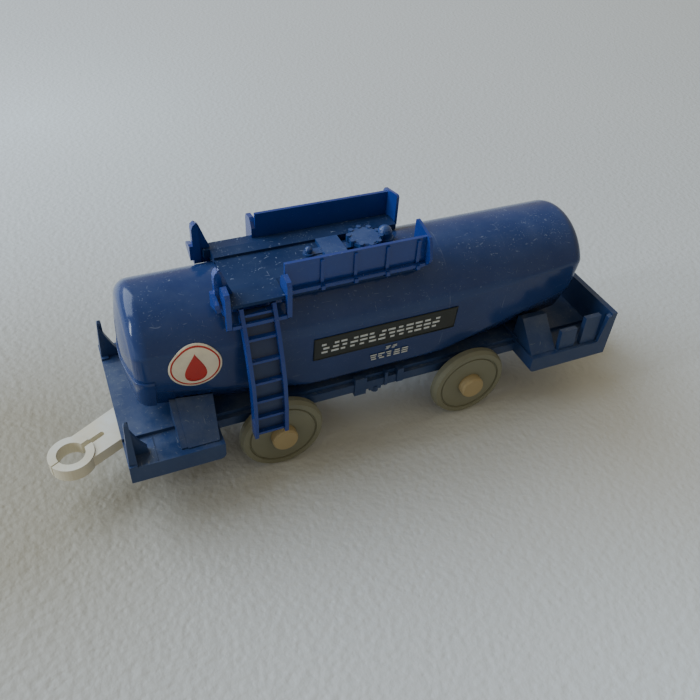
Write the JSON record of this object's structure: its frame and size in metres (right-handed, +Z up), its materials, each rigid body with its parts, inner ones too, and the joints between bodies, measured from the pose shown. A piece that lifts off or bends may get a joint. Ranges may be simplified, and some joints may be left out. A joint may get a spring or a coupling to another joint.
{
  "type": "model tank wagon",
  "caption": "Toy railway tank wagon: a long rounded tank on a flat underframe, with a crown walkway, side ladders, turning wheelsets and swinging couplers.",
  "frame": {"origin": "on the rail surface under the middle of the wagon, midway between the axles", "axes": "+X along the wagon from the ring coupler to the hook coupler, +Z up, +Y to the far side"},
  "size_m": [0.1409, 0.038, 0.0513],
  "materials": {
    "tank_blue": "dark navy moulded plastic, glossy, dusty with fine scratches",
    "walkway_blue": "brighter blue moulded plastic, satin gloss",
    "underframe_blue": "dark blue moulded plastic, satin",
    "wheel_grey": "olive grey moulded plastic, matt",
    "axle_beige": "beige moulded plastic, matt",
    "coupler_white": "off-white moulded plastic, satin",
    "screw_steel": "plain steel",
    "label_cream": "cream printed label with a red ring",
    "label_black": "black printed label with plain white bars"
  },
  "bodies": {
    "wagon": {"tank_shell": "tank_blue", "near_emblem_label": "label_cream", "far_emblem_label": "label_cream", "near_name_strip": "label_black", "far_name_strip": "label_black", "walkway_deck": "walkway_blue", "crown_fittings": "walkway_blue", "near_rail": "walkway_blue", "far_rail": "walkway_blue", "near_ladder": "walkway_blue", "far_ladder": "walkway_blue", "underframe": "underframe_blue", "ring_end_body_screw": "screw_steel", "hook_end_body_screw": "screw_steel", "ring_coupler_screw": "screw_steel", "hook_coupler_screw": "screw_steel"},
    "ring_coupler_arm": {"ring_coupler": "coupler_white"},
    "hook_coupler_arm": {"hook_coupler": "coupler_white"},
    "ring_end_wheelset": {"ring_end_axle": "axle_beige", "ring_end_near_wheel": "wheel_grey", "ring_end_far_wheel": "wheel_grey"},
    "hook_end_wheelset": {"hook_end_axle": "axle_beige", "hook_end_near_wheel": "wheel_grey", "hook_end_far_wheel": "wheel_grey"}
  },
  "joints": [
    {"name": "ring_coupler_swing", "type": "hinge", "parent": "wagon", "child": "ring_coupler_arm", "pos_m": [-0.0526, 0, 0.011], "axis": [0, 0, 1], "range_deg": [-58.5, 1.5]},
    {"name": "hook_coupler_swing", "type": "hinge", "parent": "wagon", "child": "hook_coupler_arm", "pos_m": [0.0554, 0, 0.011], "axis": [0, 0, 1], "range_deg": [-30, 30]},
    {"name": "ring_end_wheelset_roll", "type": "hinge", "parent": "wagon", "child": "ring_end_wheelset", "pos_m": [-0.02325, 0, 0.00935], "axis": [0, 1, 0], "continuous": true},
    {"name": "hook_end_wheelset_roll", "type": "hinge", "parent": "wagon", "child": "hook_end_wheelset", "pos_m": [0.02325, 0, 0.00935], "axis": [0, 1, 0], "continuous": true}
  ]
}
